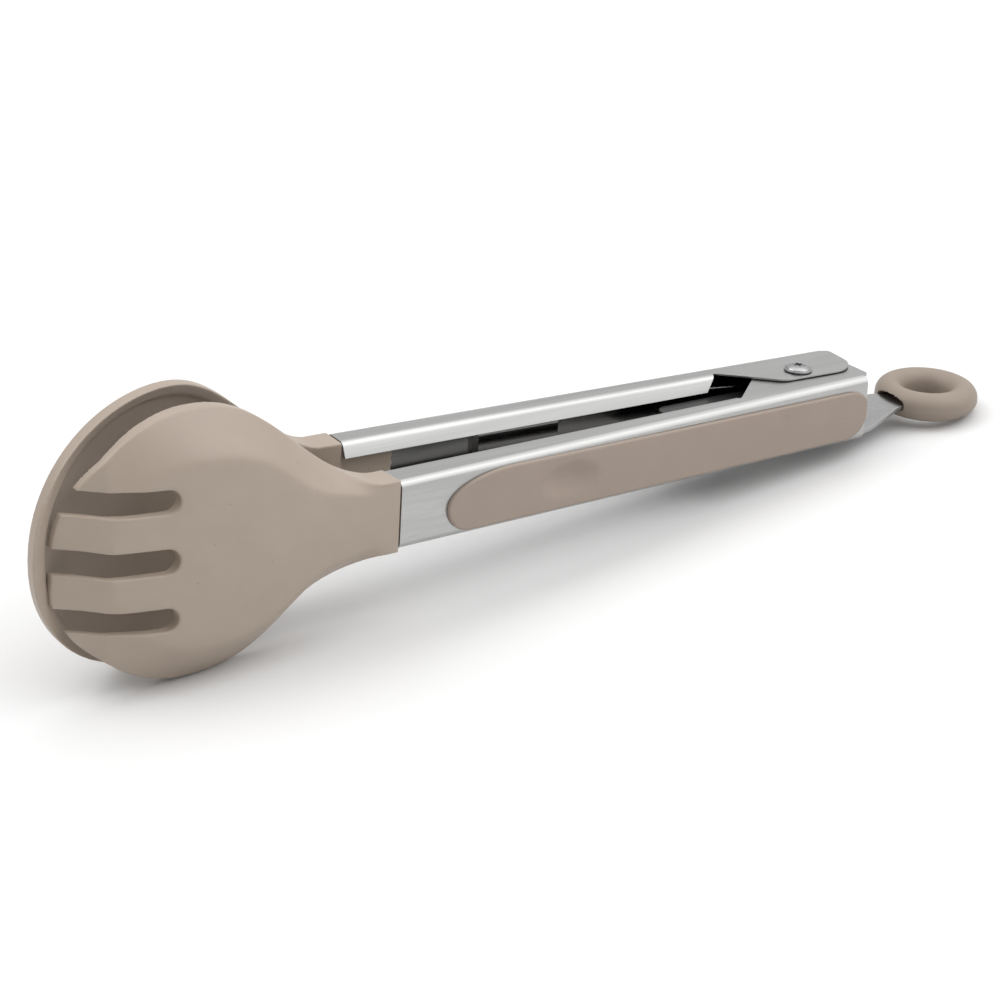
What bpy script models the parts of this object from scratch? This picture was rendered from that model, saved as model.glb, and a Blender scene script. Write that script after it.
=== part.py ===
"""Locking kitchen tongs: two pressed channel arms on one rivet, a fork head and a spoon head,
soft grips, and a pull tab whose tapered edges set how far the arms open.

World frame: X runs along the tongs with the ring at +X, Z is the rivet's axis, and the origin is the
centre of the bounding box with the arms nearly closed. Each half is modelled in its own frame first:
the pivot at the origin, the head towards -X and the web of the channel on the +Y side.
"""
import math
from collections import namedtuple

import bmesh
import bpy
from mathutils import Matrix, Vector

MM = 0.001

# Fits shared by all the pieces
SEAT_GAP = 0.25 * MM          # between pieces that are moulded or pressed onto each other
RUNNING_GAP = 0.30 * MM       # between pieces that slide or turn on each other
CUT_OVERRUN = 2.0 * MM        # how far a cutter stands past the face it cuts

# Pressed arms
SHEET = 0.6 * MM              # stainless sheet
INNER_HALF_HEIGHT = 8.8 * MM  # front arm, whose ears lie inside
EAR_GAP = 0.2 * MM            # between the nested ears
WEB_OFFSET = 11.6 * MM        # rivet axis to the web's outer face
FLANGE_WIDTH = 5.95 * MM      # web's outer face to the lip's outer face
LIP_HEIGHT = 3.7 * MM
WEB_BEND_RADIUS = 1.0 * MM
LIP_BEND_RADIUS = 1.3 * MM
ARM_REACH = 134.0 * MM        # rivet axis to the head's end of the steel
LIP_END_SLANT = 3.5 * MM      # the lip's free edge stops this much sooner than its bend
EAR_TAIL = 16.6 * MM          # how far the ears run past the rivet axis
EAR_WIDTH = 4.6 * MM          # how far the ears run past the rivet axis on the open side
FRONT_EAR_START = 25.0 * MM   # where the flange begins to widen
REAR_EAR_START = 21.6 * MM
EAR_SLOPE = 14.2 * MM         # from there to the ear's full width
EAR_TO_LIP = 0.8 * MM         # from there to the end of the lip's bend
EAR_START_RADIUS = 1.0 * MM
EAR_FULL_RADIUS = 6.0 * MM
EAR_TAIL_RADIUS = 7.0 * MM
TAIL_CORNER_RADIUS = 2.0 * MM
REST_ANGLE = 0.042            # each arm from parallel, in radians, as photographed

# Pressed pocket in the web, under the thumb dimple: straight ends and sloping sides
POCKET_CENTRE = 80.2 * MM
POCKET_LENGTH = 22.6 * MM
POCKET_MOUTH_HEIGHT = 10.8 * MM
POCKET_FLOOR_HEIGHT = 6.0 * MM
POCKET_DEPTH = 2.4 * MM

# Soft grips
GRIP_PROUD = 1.0 * MM         # above the web's outer face
GRIP_HALF_HEIGHT = 7.4 * MM
GRIP_SETBACK = 13.5 * MM      # steel that shows between a grip's rounded end and the head
GRIP_BACK = 14.4 * MM         # squarer end past the rivet
GRIP_CORNER = 5.4 * MM
GRIP_EDGE = 0.45 * MM         # bevel round the pad
DIMPLE_SHIFT = 1.2 * MM       # its centre lies this much nearer the rivet than the pocket's
DIMPLE_LENGTH = 23.6 * MM
DIMPLE_HEIGHT = 12.2 * MM
DIMPLE_DEPTH = 1.4 * MM
DIMPLE_CENTRE_SHARE = 0.8     # centre height of the cutting ellipsoid, of its half depth

# Heads, seen along Y
HEAD_ADVANCE = 52.5 * MM      # the steel's end to the centre of the round
HEAD_RADIUS = 34.0 * MM
FORK_NOSE = 33.0 * MM         # centre of the round to the tip
SPOON_PAST_FORK = 4.0 * MM    # the spoon's rim closes this far past the tines
NECK_HALF_WIDTH = 10.8 * MM
NECK_FILLET = 26.0 * MM
COLLAR_LENGTH = 5.0 * MM      # the neck grows from the arm's height to its own over this
COLLAR_PROUD = 0.3 * MM
# Heads, depths measured inwards from the web's outer face
NECK_THICKNESS = 5.8 * MM
FORK_WALL = 3.4 * MM
SPOON_WALL = 2.3 * MM
TIP_THINNING = 1.3 * MM       # the fork's wall loses this towards its tips
NECK_SHOULDER = 0.8 * MM      # how far the neck's edges fall below its middle, at the collar
SHOULDER_LENGTH = 29.0 * MM   # from the steel to where the rim has its full depth
FORK_RIM_DEPTH = 10.7 * MM    # at the centre of the round
SPOON_RIM_DEPTH = 10.1 * MM
SPOON_RIM_RISE = 11.0 * MM    # how much deeper the spoon's rim is at its tip
FORK_FLAT_LENGTH = 26.0 * MM  # from the steel to where the middle line starts to fall
SPOON_FLAT_LENGTH = 28.0 * MM
FORK_TIP_DEPTH = 9.9 * MM     # middle line at the tip, before the bend
FORK_FALL_POWER = 2.0
SPOON_FALL_POWER = 2.6
TINE_KINK_RADIUS = 23.0 * MM  # the tines bend on this radius about the head's centre
TINE_BEND_SLOPE = 0.62
SPOON_RIM_BAND = 4.0 * MM
SPOON_RIM_FADE = 3.0 * MM     # width of the slope from the band to the bowl
SPOON_RIM_STEP = 0.8 * MM     # the band stands this far above the bowl's inside
DISH_POWER = 2.6
GRID_CELL = 3.0 * MM
GRID_MARGIN = 1.5 * MM
# Slots between the tines
SLOT_ADVANCE = 6.7 * MM       # centre of the round to the slots' closed ends
MIDDLE_SLOT = 6.2 * MM
SIDE_SLOT = 5.8 * MM
TINE_WIDTH = 8.7 * MM
# Tongue inside the channel
TONGUE_LENGTH = 15.0 * MM
TONGUE_INTO_NECK = 3.0 * MM
TONGUE_WAVE = 0.8 * MM
TONGUE_WAVES = 3

# Rivet
RIVET_RADIUS = 2.5 * MM
RIVET_HEAD_RADIUS = 3.7 * MM
RIVET_HEAD_HEIGHT = 1.3 * MM
RIVET_HEAD_EDGE = 0.3 * MM

# Spring housing and spring
HOUSING_RADIUS = 7.3 * MM
HOUSING_WALL = 1.2 * MM
NOSE_REACH = 43.0 * MM
NOSE_HALF_WIDTH = 4.6 * MM
NOSE_HALF_HEIGHT = 4.8 * MM
NOSE_TIP_RADIUS = 3.0 * MM
WIRE_RADIUS = 0.6 * MM
COIL_RADIUS = 4.55 * MM
COIL_TURNS = 5                # full turns between the two tangent points
COIL_POINTS = 10              # for each turn
COIL_PITCH = 1.75 * MM
LEG_REACH = 30.0 * MM
LEG_POINTS = 4

# Pull tab
TAB_THICKNESS = 1.2 * MM
TAB_HALF_WIDTH = 9.55 * MM
TAB_INNER_END = 10.0 * MM     # ahead of the rivet axis
TAB_TAPER_START = 15.7 * MM
TAB_TAPER_END = 32.4 * MM
TAB_NECK_HALF_WIDTH = 5.4 * MM
TAB_END = 38.0 * MM
TAB_SHOULDER_RADIUS = 15.0 * MM
TAB_CORNER_RADIUS = 2.0 * MM
TAB_JOGGLE = 2.5 * MM
JOGGLE_START = 19.8 * MM
JOGGLE_END = 30.5 * MM
TAB_PUSH = 12.0 * MM          # travel inwards from the photographed place
RING_CENTRE = 45.7 * MM
RING_RADIUS = 10.05 * MM
RING_TUBE_RADIUS = 3.8 * MM

# Facets
SMOOTH_ANGLE = math.radians(35)
BEVEL_ANGLE = math.radians(60)
WELD_DISTANCE = 0.001 * MM
LEAST_STEP = 0.4 * MM         # least step along an outline, beside a slot
FULL_ROUND_SHARE = 0.999      # of half a width: an end that is a whole half circle
LEAN_LIMIT = 1.12             # the most that a steep wall is deepened, as a multiple
PAST_EDGE_LIMIT = 1.15        # how far past a head's edge its surfaces go on falling
ARC_STEPS = 6
BEND_STEPS = 4
ROUND_SIDES = 40
OVAL_SIDES = 28
RING_STEPS = 44
RING_TUBE_STEPS = 14

# Sizes that follow
OUTER_HALF_HEIGHT = INNER_HALF_HEIGHT + SHEET + EAR_GAP
GRIP_FRONT = ARM_REACH - GRIP_SETBACK
HEAD_CENTRE = ARM_REACH + HEAD_ADVANCE
SPOON_NOSE = FORK_NOSE + SPOON_PAST_FORK
SHOULDER_END = ARM_REACH + SHOULDER_LENGTH
SLOT_END = HEAD_CENTRE + SLOT_ADVANCE
HEAD_TIP = HEAD_CENTRE + SPOON_NOSE
RING_REACH = RING_CENTRE + RING_RADIUS + RING_TUBE_RADIUS
PIVOT_X = (HEAD_TIP - RING_REACH) / 2
TAB_Z = -(INNER_HALF_HEIGHT - SHEET - RUNNING_GAP - TAB_THICKNESS / 2)
RING_Z = TAB_Z + TAB_JOGGLE
HOUSING_TOP = INNER_HALF_HEIGHT - SHEET - RUNNING_GAP
HOUSING_BOTTOM = TAB_Z + TAB_THICKNESS / 2 + RUNNING_GAP

HeadForm = namedtuple("HeadForm", "nose flat_end tip_depth fall_power rim_depth rim_rise "
                                  "bend_slope wall thinning band_step slotted")
FORK = HeadForm(FORK_NOSE, ARM_REACH + FORK_FLAT_LENGTH, FORK_TIP_DEPTH, FORK_FALL_POWER, FORK_RIM_DEPTH, 0,
                TINE_BEND_SLOPE, FORK_WALL, TIP_THINNING, 0, True)
SPOON = HeadForm(SPOON_NOSE, ARM_REACH + SPOON_FLAT_LENGTH, SPOON_RIM_DEPTH + SPOON_RIM_RISE,
                 SPOON_FALL_POWER, SPOON_RIM_DEPTH, SPOON_RIM_RISE, 0, SPOON_WALL, 0, SPOON_RIM_STEP, False)

STEEL = ((0.66, 0.66, 0.65), 0.32, 1.0)
SPRING_STEEL = ((0.45, 0.45, 0.46), 0.30, 1.0)
TAUPE_NYLON = ((0.42, 0.35, 0.29), 0.45, 0.0)
TAUPE_RUBBER = ((0.43, 0.34, 0.29), 0.60, 0.0)
BLACK_NYLON = ((0.012, 0.012, 0.012), 0.50, 0.0)


def clear_scene():
    """Remove whatever the opened file holds."""
    for obj in list(bpy.data.objects):
        bpy.data.objects.remove(obj, do_unlink=True)


def new_collection(name):
    """A collection under the scene's own."""
    coll = bpy.data.collections.new(name)
    bpy.context.scene.collection.children.link(coll)
    return coll


def material(name, look):
    """A Principled material from a colour, a roughness and a metallic value."""
    color, roughness, metallic = look
    mat = bpy.data.materials.new(name)
    mat.use_nodes = True
    shader = mat.node_tree.nodes["Principled BSDF"]
    shader.inputs["Base Color"].default_value = (*color, 1.0)
    shader.inputs["Roughness"].default_value = roughness
    shader.inputs["Metallic"].default_value = metallic
    mat.diffuse_color = (*color, 1.0)
    return mat


def mesh_object(name, bm, coll, mat=None, smooth_angle=None):
    """An object from a bmesh, which is freed."""
    mesh = bpy.data.meshes.new(name)
    bm.to_mesh(mesh)
    bm.free()
    if mat is not None:
        mesh.materials.append(mat)
    if smooth_angle is not None:
        mesh.shade_smooth()
        mesh.set_sharp_from_angle(angle=smooth_angle)
    obj = bpy.data.objects.new(name, mesh)
    coll.objects.link(obj)
    return obj


def curve_to_bmesh(curve_obj, matrix):
    """A curve's evaluated form as a welded, closed bmesh; the curve is removed."""
    bpy.context.view_layer.update()
    evaluated = curve_obj.evaluated_get(bpy.context.evaluated_depsgraph_get())
    mesh = bpy.data.meshes.new_from_object(evaluated)
    bm = bmesh.new()
    bm.from_mesh(mesh)
    bmesh.ops.remove_doubles(bm, verts=bm.verts, dist=WELD_DISTANCE)
    bmesh.ops.transform(bm, matrix=matrix, verts=bm.verts)
    bmesh.ops.recalc_face_normals(bm, faces=bm.faces)
    bpy.data.meshes.remove(mesh)
    bpy.data.objects.remove(curve_obj, do_unlink=True)
    return bm


def rounded_outline(corners):
    """A closed outline from corners (x, y, radius), each fillet an arc."""
    points = []
    count = len(corners)
    for i, (x, y, radius) in enumerate(corners):
        here = Vector((x, y))
        if radius <= 0:
            points.append((x, y))
            continue
        to_last = (Vector(corners[i - 1][:2]) - here).normalized()
        to_next = (Vector(corners[(i + 1) % count][:2]) - here).normalized()
        half = to_last.angle(to_next) / 2
        bisector = (to_last + to_next).normalized()
        centre = here + bisector * (radius / math.sin(half))
        first = here + to_last * (radius / math.tan(half)) - centre
        last = here + to_next * (radius / math.tan(half)) - centre
        sweep = first.angle_signed(last)
        for k in range(ARC_STEPS + 1):
            turned = first.copy()
            turned.rotate(Matrix.Rotation(-sweep * k / ARC_STEPS, 2))
            points.append(tuple(centre + turned))
    return points


def flat_solid(name, points, low, high, coll, mat=None, along="Z"):
    """An outline given thickness along an axis: drawn in (X, Y), in (X, Z) or in (Y, Z)."""
    curve = bpy.data.curves.new(name, "CURVE")
    curve.dimensions = "2D"
    curve.fill_mode = "BOTH"
    curve.extrude = (high - low) / 2
    spline = curve.splines.new("POLY")
    spline.points.add(len(points) - 1)
    for point, (a, b) in zip(spline.points, points):
        point.co = (a, b, 0, 1)
    spline.use_cyclic_u = True
    obj = bpy.data.objects.new(name, curve)
    coll.objects.link(obj)
    place = Matrix.Translation((0, 0, (low + high) / 2))
    if along == "Y":
        place = Matrix(((1, 0, 0, 0), (0, 0, 1, 0), (0, 1, 0, 0), (0, 0, 0, 1))) @ place
    if along == "X":
        place = Matrix(((0, 0, 1, 0), (1, 0, 0, 0), (0, 1, 0, 0), (0, 0, 0, 1))) @ place
    return mesh_object(name, curve_to_bmesh(obj, place), coll, mat)


def round_solid(name, radius, low, high, coll, mat=None):
    """A cylinder about the rivet's axis, between two Z values."""
    bm = bmesh.new()
    bmesh.ops.create_cone(bm, cap_ends=True, segments=ROUND_SIDES, radius1=radius,
                          radius2=radius, depth=high - low)
    bmesh.ops.translate(bm, vec=(0, 0, (low + high) / 2), verts=bm.verts)
    return mesh_object(name, bm, coll, mat)


def box(name, low, high, coll):
    """A box between two corners."""
    bm = bmesh.new()
    bmesh.ops.create_cube(bm, size=1)
    size = Vector(high) - Vector(low)
    place = Matrix.Translation((Vector(low) + Vector(high)) / 2) @ Matrix.Diagonal((*size, 1))
    bmesh.ops.transform(bm, matrix=place, verts=bm.verts)
    return mesh_object(name, bm, coll)


def boolean(obj, tool, operation):
    """Cut or join one object with a tool that isn't itself a piece."""
    modifier = obj.modifiers.new(f"{operation.lower()}_{tool.name}", "BOOLEAN")
    modifier.operation = operation
    modifier.solver = "EXACT"
    modifier.object = tool
    tool.hide_render = True
    tool.display_type = "WIRE"
    tool.parent = obj


def arm_frame(name, side):
    """The empty that carries one half of the tongs: its origin is on the rivet's axis."""
    frame = bpy.data.objects.new(name, None)
    bpy.context.scene.collection.objects.link(frame)
    frame.empty_display_size = EAR_TAIL
    frame.location = (PIVOT_X, 0, 0)
    flip = math.pi if side < 0 else 0
    frame.rotation_euler = (flip, 0, -side * REST_ANGLE)
    return frame


def flange_outline(ear_start):
    """Plan of one flange with its ear, at the sheet's middle surface."""
    web_bend = WEB_OFFSET - WEB_BEND_RADIUS
    lip_bend = WEB_OFFSET - FLANGE_WIDTH + LIP_BEND_RADIUS
    return rounded_outline([
        (-ARM_REACH, web_bend, 0),
        (EAR_TAIL, web_bend, TAIL_CORNER_RADIUS),
        (EAR_TAIL, -EAR_WIDTH, EAR_TAIL_RADIUS),
        (EAR_SLOPE - ear_start, -EAR_WIDTH, EAR_FULL_RADIUS),
        (-ear_start, lip_bend, EAR_START_RADIUS),
        (-ear_start - EAR_TO_LIP, lip_bend, 0),
        (-ARM_REACH, lip_bend, 0),
    ])


def long_edge(bm, y):
    """The longest edge of the blank on the line y."""
    found = [e for e in bm.edges if all(abs(v.co.y - y) < WELD_DISTANCE for v in e.verts)]
    return max(found, key=lambda e: e.calc_length())


def bend_and_wall(bm, edge, radius, towards, wall_low):
    """Bend the sheet down from an edge, then run the wall straight to a height."""
    y = edge.verts[0].co.y
    z = edge.verts[0].co.z
    spun = bmesh.ops.spin(bm, geom=[edge, *edge.verts], cent=(0, y, z - radius), axis=(1, 0, 0),
                          dvec=(0, 0, 0), angle=-towards * math.pi / 2, steps=BEND_STEPS,
                          use_duplicate=False)
    last = [g for g in spun["geom_last"] if isinstance(g, bmesh.types.BMEdge)]
    pulled = bmesh.ops.extrude_edge_only(bm, edges=last)
    for vert in (g for g in pulled["geom"] if isinstance(g, bmesh.types.BMVert)):
        vert.co.z = wall_low


def pocket_solid(name, grow, top, cutters):
    """The pocket's form up to a height above the web, grown on its floor, sides and ends."""
    floor = WEB_OFFSET - POCKET_DEPTH - grow
    lean = (POCKET_MOUTH_HEIGHT - POCKET_FLOOR_HEIGHT) / 2 / POCKET_DEPTH
    low = POCKET_FLOOR_HEIGHT / 2 + grow * (math.sqrt(1 + lean ** 2) - lean)
    high = low + lean * (top - floor)
    outline = [(floor, -low), (top, -high), (top, high), (floor, low)]
    half = POCKET_LENGTH / 2 + grow
    return flat_solid(name, outline, -POCKET_CENTRE - half, -POCKET_CENTRE + half, cutters, along="X")


def pressed_arm(name, half_height, ear_start, frame, coll, cutters, mat):
    """One lipped channel: a flat blank, bent twice, mirrored, given its sheet thickness."""
    middle = half_height - SHEET / 2
    bm = bmesh.new()
    verts = [bm.verts.new((x, y, middle)) for x, y in flange_outline(ear_start)]
    rim = [bm.edges.new((a, b)) for a, b in zip(verts, verts[1:] + verts[:1])]
    bmesh.ops.contextual_create(bm, geom=rim)
    web_edge = long_edge(bm, WEB_OFFSET - WEB_BEND_RADIUS)
    bend_and_wall(bm, web_edge, WEB_BEND_RADIUS - SHEET / 2, 1, 0)
    lip_line = WEB_OFFSET - FLANGE_WIDTH + LIP_BEND_RADIUS
    lip_edge = long_edge(bm, lip_line)
    bend_and_wall(bm, lip_edge, LIP_BEND_RADIUS - SHEET / 2, -1, half_height - LIP_HEIGHT)
    for vert in bm.verts:
        at_lip_end = abs(vert.co.x + ear_start + EAR_TO_LIP) < WELD_DISTANCE
        if at_lip_end and vert.co.y < lip_line - WELD_DISTANCE:
            vert.co.x -= LIP_END_SLANT * (middle - vert.co.z) / LIP_HEIGHT
    bmesh.ops.recalc_face_normals(bm, faces=bm.faces)
    arm = mesh_object(name, bm, coll, mat)
    mirror = arm.modifiers.new("lower_half", "MIRROR")
    mirror.use_axis = (False, False, True)
    mirror.merge_threshold = WELD_DISTANCE
    sheet = arm.modifiers.new("sheet", "SOLIDIFY")
    sheet.thickness = SHEET
    sheet.offset = 0
    sheet.use_even_offset = True

    boss = pocket_solid(f"{name}_boss", SHEET, WEB_OFFSET - SHEET / 2, cutters)
    pocket = pocket_solid(f"{name}_pocket", 0, WEB_OFFSET + CUT_OVERRUN, cutters)
    hole = round_solid(f"{name}_hole", RIVET_RADIUS + RUNNING_GAP,
                       -half_height - CUT_OVERRUN, half_height + CUT_OVERRUN, cutters)
    boolean(arm, boss, "UNION")
    boolean(arm, pocket, "DIFFERENCE")
    boolean(arm, hole, "DIFFERENCE")
    arm.parent = frame
    return arm


def grip(name, frame, coll, cutters, mat):
    """The soft pad on a web, with a lug in the pressed pocket and a dimple for the thumb."""
    outline = rounded_outline([
        (-GRIP_FRONT, -GRIP_HALF_HEIGHT, GRIP_HALF_HEIGHT * FULL_ROUND_SHARE),
        (GRIP_BACK, -GRIP_HALF_HEIGHT, GRIP_CORNER),
        (GRIP_BACK, GRIP_HALF_HEIGHT, GRIP_CORNER),
        (-GRIP_FRONT, GRIP_HALF_HEIGHT, GRIP_HALF_HEIGHT * FULL_ROUND_SHARE),
    ])
    outer = WEB_OFFSET + GRIP_PROUD
    pad = flat_solid(name, outline, WEB_OFFSET + SEAT_GAP, outer, coll, mat, along="Y")
    edge = pad.modifiers.new("soft_edge", "BEVEL")
    edge.width = GRIP_EDGE
    edge.segments = 2
    edge.limit_method = "ANGLE"
    edge.angle_limit = BEVEL_ANGLE
    lug = pocket_solid(f"{name}_lug", -SEAT_GAP, WEB_OFFSET + (SEAT_GAP + GRIP_PROUD) / 2, cutters)
    boolean(pad, lug, "UNION")
    spread = math.sqrt(1 - DIMPLE_CENTRE_SHARE ** 2)
    half_depth = DIMPLE_DEPTH / (1 - DIMPLE_CENTRE_SHARE)
    bm = bmesh.new()
    bmesh.ops.create_uvsphere(bm, u_segments=OVAL_SIDES, v_segments=OVAL_SIDES, radius=1)
    stretch = Matrix.Diagonal((DIMPLE_LENGTH / 2 / spread, DIMPLE_HEIGHT / 2 / spread, half_depth, 1))
    place = Matrix.Translation((DIMPLE_SHIFT - POCKET_CENTRE, outer + half_depth * DIMPLE_CENTRE_SHARE, 0))
    bmesh.ops.transform(bm, matrix=place @ Matrix.Rotation(math.pi / 2, 4, "X") @ stretch, verts=bm.verts)
    dimple = mesh_object(f"{name}_dimple", bm, cutters)
    boolean(pad, dimple, "DIFFERENCE")
    pad.parent = frame
    return pad


def smoothstep(low, high, value):
    """Zero below low, one above high, smooth between."""
    t = min(max((value - low) / (high - low), 0), 1)
    return t * t * (3 - 2 * t)


def fillet_centre():
    """Where the fillet between the neck and the round has its centre, as a reach from the rivet."""
    reach = HEAD_RADIUS + NECK_FILLET
    rise = NECK_HALF_WIDTH + NECK_FILLET
    return HEAD_CENTRE - math.sqrt(reach ** 2 - rise ** 2)


def fillet_end():
    """Where the fillet meets the round, as a reach from the rivet."""
    share = HEAD_RADIUS / (HEAD_RADIUS + NECK_FILLET)
    return HEAD_CENTRE - (HEAD_CENTRE - fillet_centre()) * share


def half_width(reach, collar):
    """Half width of a head at a reach from the rivet axis, as far as the centre of the round."""
    centre = fillet_centre()
    if reach >= fillet_end():
        return math.sqrt(HEAD_RADIUS ** 2 - max(HEAD_CENTRE - reach, 0) ** 2)
    if reach >= centre:
        return NECK_HALF_WIDTH + NECK_FILLET - math.sqrt(NECK_FILLET ** 2 - (reach - centre) ** 2)
    grown = smoothstep(ARM_REACH, ARM_REACH + COLLAR_LENGTH, reach)
    return collar + (NECK_HALF_WIDTH - collar) * grown


def slots():
    """The middle and the width of each slot, in the order that the outline meets them."""
    pitch = (MIDDLE_SLOT + SIDE_SLOT) / 2 + TINE_WIDTH
    return ((pitch, SIDE_SLOT), (0, MIDDLE_SLOT), (-pitch, SIDE_SLOT))


def slot_outline(middle, width, form):
    """One slot between tines: in from the nose, round its closed end and out again."""
    half = width / 2
    points = []
    for i in range(2 * ARC_STEPS + 1):
        angle = math.pi / 2 - math.pi * i / (2 * ARC_STEPS)
        points.append((half * math.cos(angle) - SLOT_END - half, middle + half * math.sin(angle)))
    ends = [(-HEAD_CENTRE - form.nose * math.sqrt(1 - (z / HEAD_RADIUS) ** 2), z)
            for z in (middle + half, middle - half)]
    return [ends[0]] + points + [ends[1]]


def nose_outline(form):
    """The round's far half, from its high side to its low one, with the slots if it has any."""
    steps = 4 * ARC_STEPS
    cuts = list(slots()) if form.slotted else []
    points = []
    for i in range(steps + 1):
        angle = math.pi / 2 + math.pi * i / steps
        z = HEAD_RADIUS * math.sin(angle)
        if cuts and z < cuts[0][0]:
            points += slot_outline(*cuts.pop(0), form)
        inside = form.slotted and any(abs(z - middle) < width / 2 + LEAST_STEP for middle, width in slots())
        if not inside:
            points.append((form.nose * math.cos(angle) - HEAD_CENTRE, z))
    return points


def head_outline(collar, form):
    """Plan of a head seen along Y: collar, neck, fillets and the round with its nose."""
    start = ARM_REACH + SEAT_GAP
    touch = fillet_end()
    steps = 3 * ARC_STEPS
    side = []
    for i in range(steps):
        reach = start + (touch - start) * i / steps
        side.append((-reach, half_width(reach, collar)))
    open_angle = math.asin(half_width(touch, collar) / HEAD_RADIUS)
    steps = 2 * ARC_STEPS
    for i in range(steps):
        angle = open_angle + (math.pi / 2 - open_angle) * i / steps
        side.append((HEAD_RADIUS * math.cos(angle) - HEAD_CENTRE, HEAD_RADIUS * math.sin(angle)))
    return side + nose_outline(form) + [(x, -z) for x, z in reversed(side)]


def out_from_middle(reach, z, collar, form):
    """Where a point of a head lies between its middle line, 0, and its edge, 1."""
    if reach > HEAD_CENTRE:
        share = math.hypot((reach - HEAD_CENTRE) / form.nose, z / HEAD_RADIUS)
    else:
        share = abs(z) / half_width(reach, collar)
    return min(share, PAST_EDGE_LIMIT)


def outer_depth(reach, z, collar, form):
    """Depth of a head's outer surface below the web's outer face."""
    fall = max(reach - form.flat_end, 0) / (HEAD_CENTRE + form.nose - form.flat_end)
    middle = form.tip_depth * fall ** form.fall_power
    rim = form.rim_depth + form.rim_rise * (reach - HEAD_CENTRE) / form.nose
    rim = NECK_SHOULDER + (rim - NECK_SHOULDER) * smoothstep(ARM_REACH, SHOULDER_END, reach)
    depth = middle + (rim - middle) * out_from_middle(reach, z, collar, form) ** DISH_POWER
    if reach > HEAD_CENTRE:
        radius = math.hypot(reach - HEAD_CENTRE, z)
        ahead = math.cos(2 * math.atan2(z, reach - HEAD_CENTRE))
        depth += max(radius - TINE_KINK_RADIUS, 0) * form.bend_slope * max(ahead, 0)
    return depth


def wall_thickness(reach, z, collar, form):
    """Thickness of a head: thick at the neck, its wall in the round, and the rim's band."""
    thin = smoothstep(ARM_REACH + COLLAR_LENGTH, SHOULDER_END, reach)
    wall = NECK_THICKNESS + (form.wall - NECK_THICKNESS) * thin
    wall -= form.thinning * smoothstep(HEAD_CENTRE, HEAD_CENTRE + form.nose, reach)
    inset = (1 - out_from_middle(reach, z, collar, form)) * half_width(min(reach, HEAD_CENTRE), collar)
    fade = SPOON_RIM_FADE / 2
    on_band = 1 - smoothstep(SPOON_RIM_BAND - fade, SPOON_RIM_BAND + fade, inset)
    return wall + form.band_step * on_band * thin


def head_shell(name, collar, form, coll, mat):
    """A curved slab, larger than the head all round, between the outer and the inner surface."""
    start = ARM_REACH + SEAT_GAP - GRID_MARGIN
    end = HEAD_CENTRE + form.nose + GRID_MARGIN
    edge = HEAD_RADIUS + GRID_MARGIN
    rows = round((end - start) / GRID_CELL)
    columns = 2 * round(edge / GRID_CELL)
    nudge = GRID_CELL / 10
    bm = bmesh.new()
    layers = []
    for inner in (False, True):
        grid = []
        for i in range(rows + 1):
            reach = start + (end - start) * i / rows
            row = []
            for j in range(columns + 1):
                z = -edge + 2 * edge * j / columns
                depth = outer_depth(reach, z, collar, form)
                if inner:
                    slope_x = (outer_depth(reach + nudge, z, collar, form) - depth) / nudge
                    slope_z = (outer_depth(reach, z + nudge, collar, form) - depth) / nudge
                    lean = min(math.sqrt(1 + slope_x ** 2 + slope_z ** 2), LEAN_LIMIT)
                    depth += wall_thickness(reach, z, collar, form) * lean
                row.append(bm.verts.new((-reach, WEB_OFFSET - depth, z)))
            grid.append(row)
        layers.append(grid)
    for grid in layers:
        for i in range(rows):
            for j in range(columns):
                bm.faces.new((grid[i][j], grid[i][j + 1], grid[i + 1][j + 1], grid[i + 1][j]))
    bmesh.ops.bridge_loops(bm, edges=[e for e in bm.edges if e.is_boundary])
    bmesh.ops.recalc_face_normals(bm, faces=bm.faces)
    return mesh_object(name, bm, coll, mat, SMOOTH_ANGLE)


def head(name, half_height, form, frame, coll, cutters, mat):
    """A moulded head: a curved slab trimmed to its plan, and the tongue in the channel."""
    collar = half_height + COLLAR_PROUD
    shell = head_shell(name, collar, form, coll, mat)
    plan = flat_solid(f"{name}_plan", head_outline(collar, form), -HEAD_RADIUS,
                      WEB_OFFSET + CUT_OVERRUN, cutters, along="Y")
    boolean(shell, plan, "INTERSECT")
    half = half_height - SHEET - SEAT_GAP
    steps = TONGUE_WAVES * ARC_STEPS * 2
    wavy = []
    for i in range(steps + 1):
        z = -half + 2 * half * i / steps
        wave = TONGUE_WAVE / 2 * math.sin(2 * math.pi * TONGUE_WAVES * i / steps)
        wavy.append((TONGUE_LENGTH - ARM_REACH + wave, z))
    root = -(ARM_REACH + TONGUE_INTO_NECK)
    outline = [(root, -half)] + wavy + [(root, half)]
    tongue = flat_solid(f"{name}_tongue", outline, WEB_OFFSET - FLANGE_WIDTH + SHEET + SEAT_GAP,
                        WEB_OFFSET - SHEET - SEAT_GAP, cutters, along="Y")
    boolean(shell, tongue, "UNION")
    shell.parent = frame
    return shell


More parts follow.
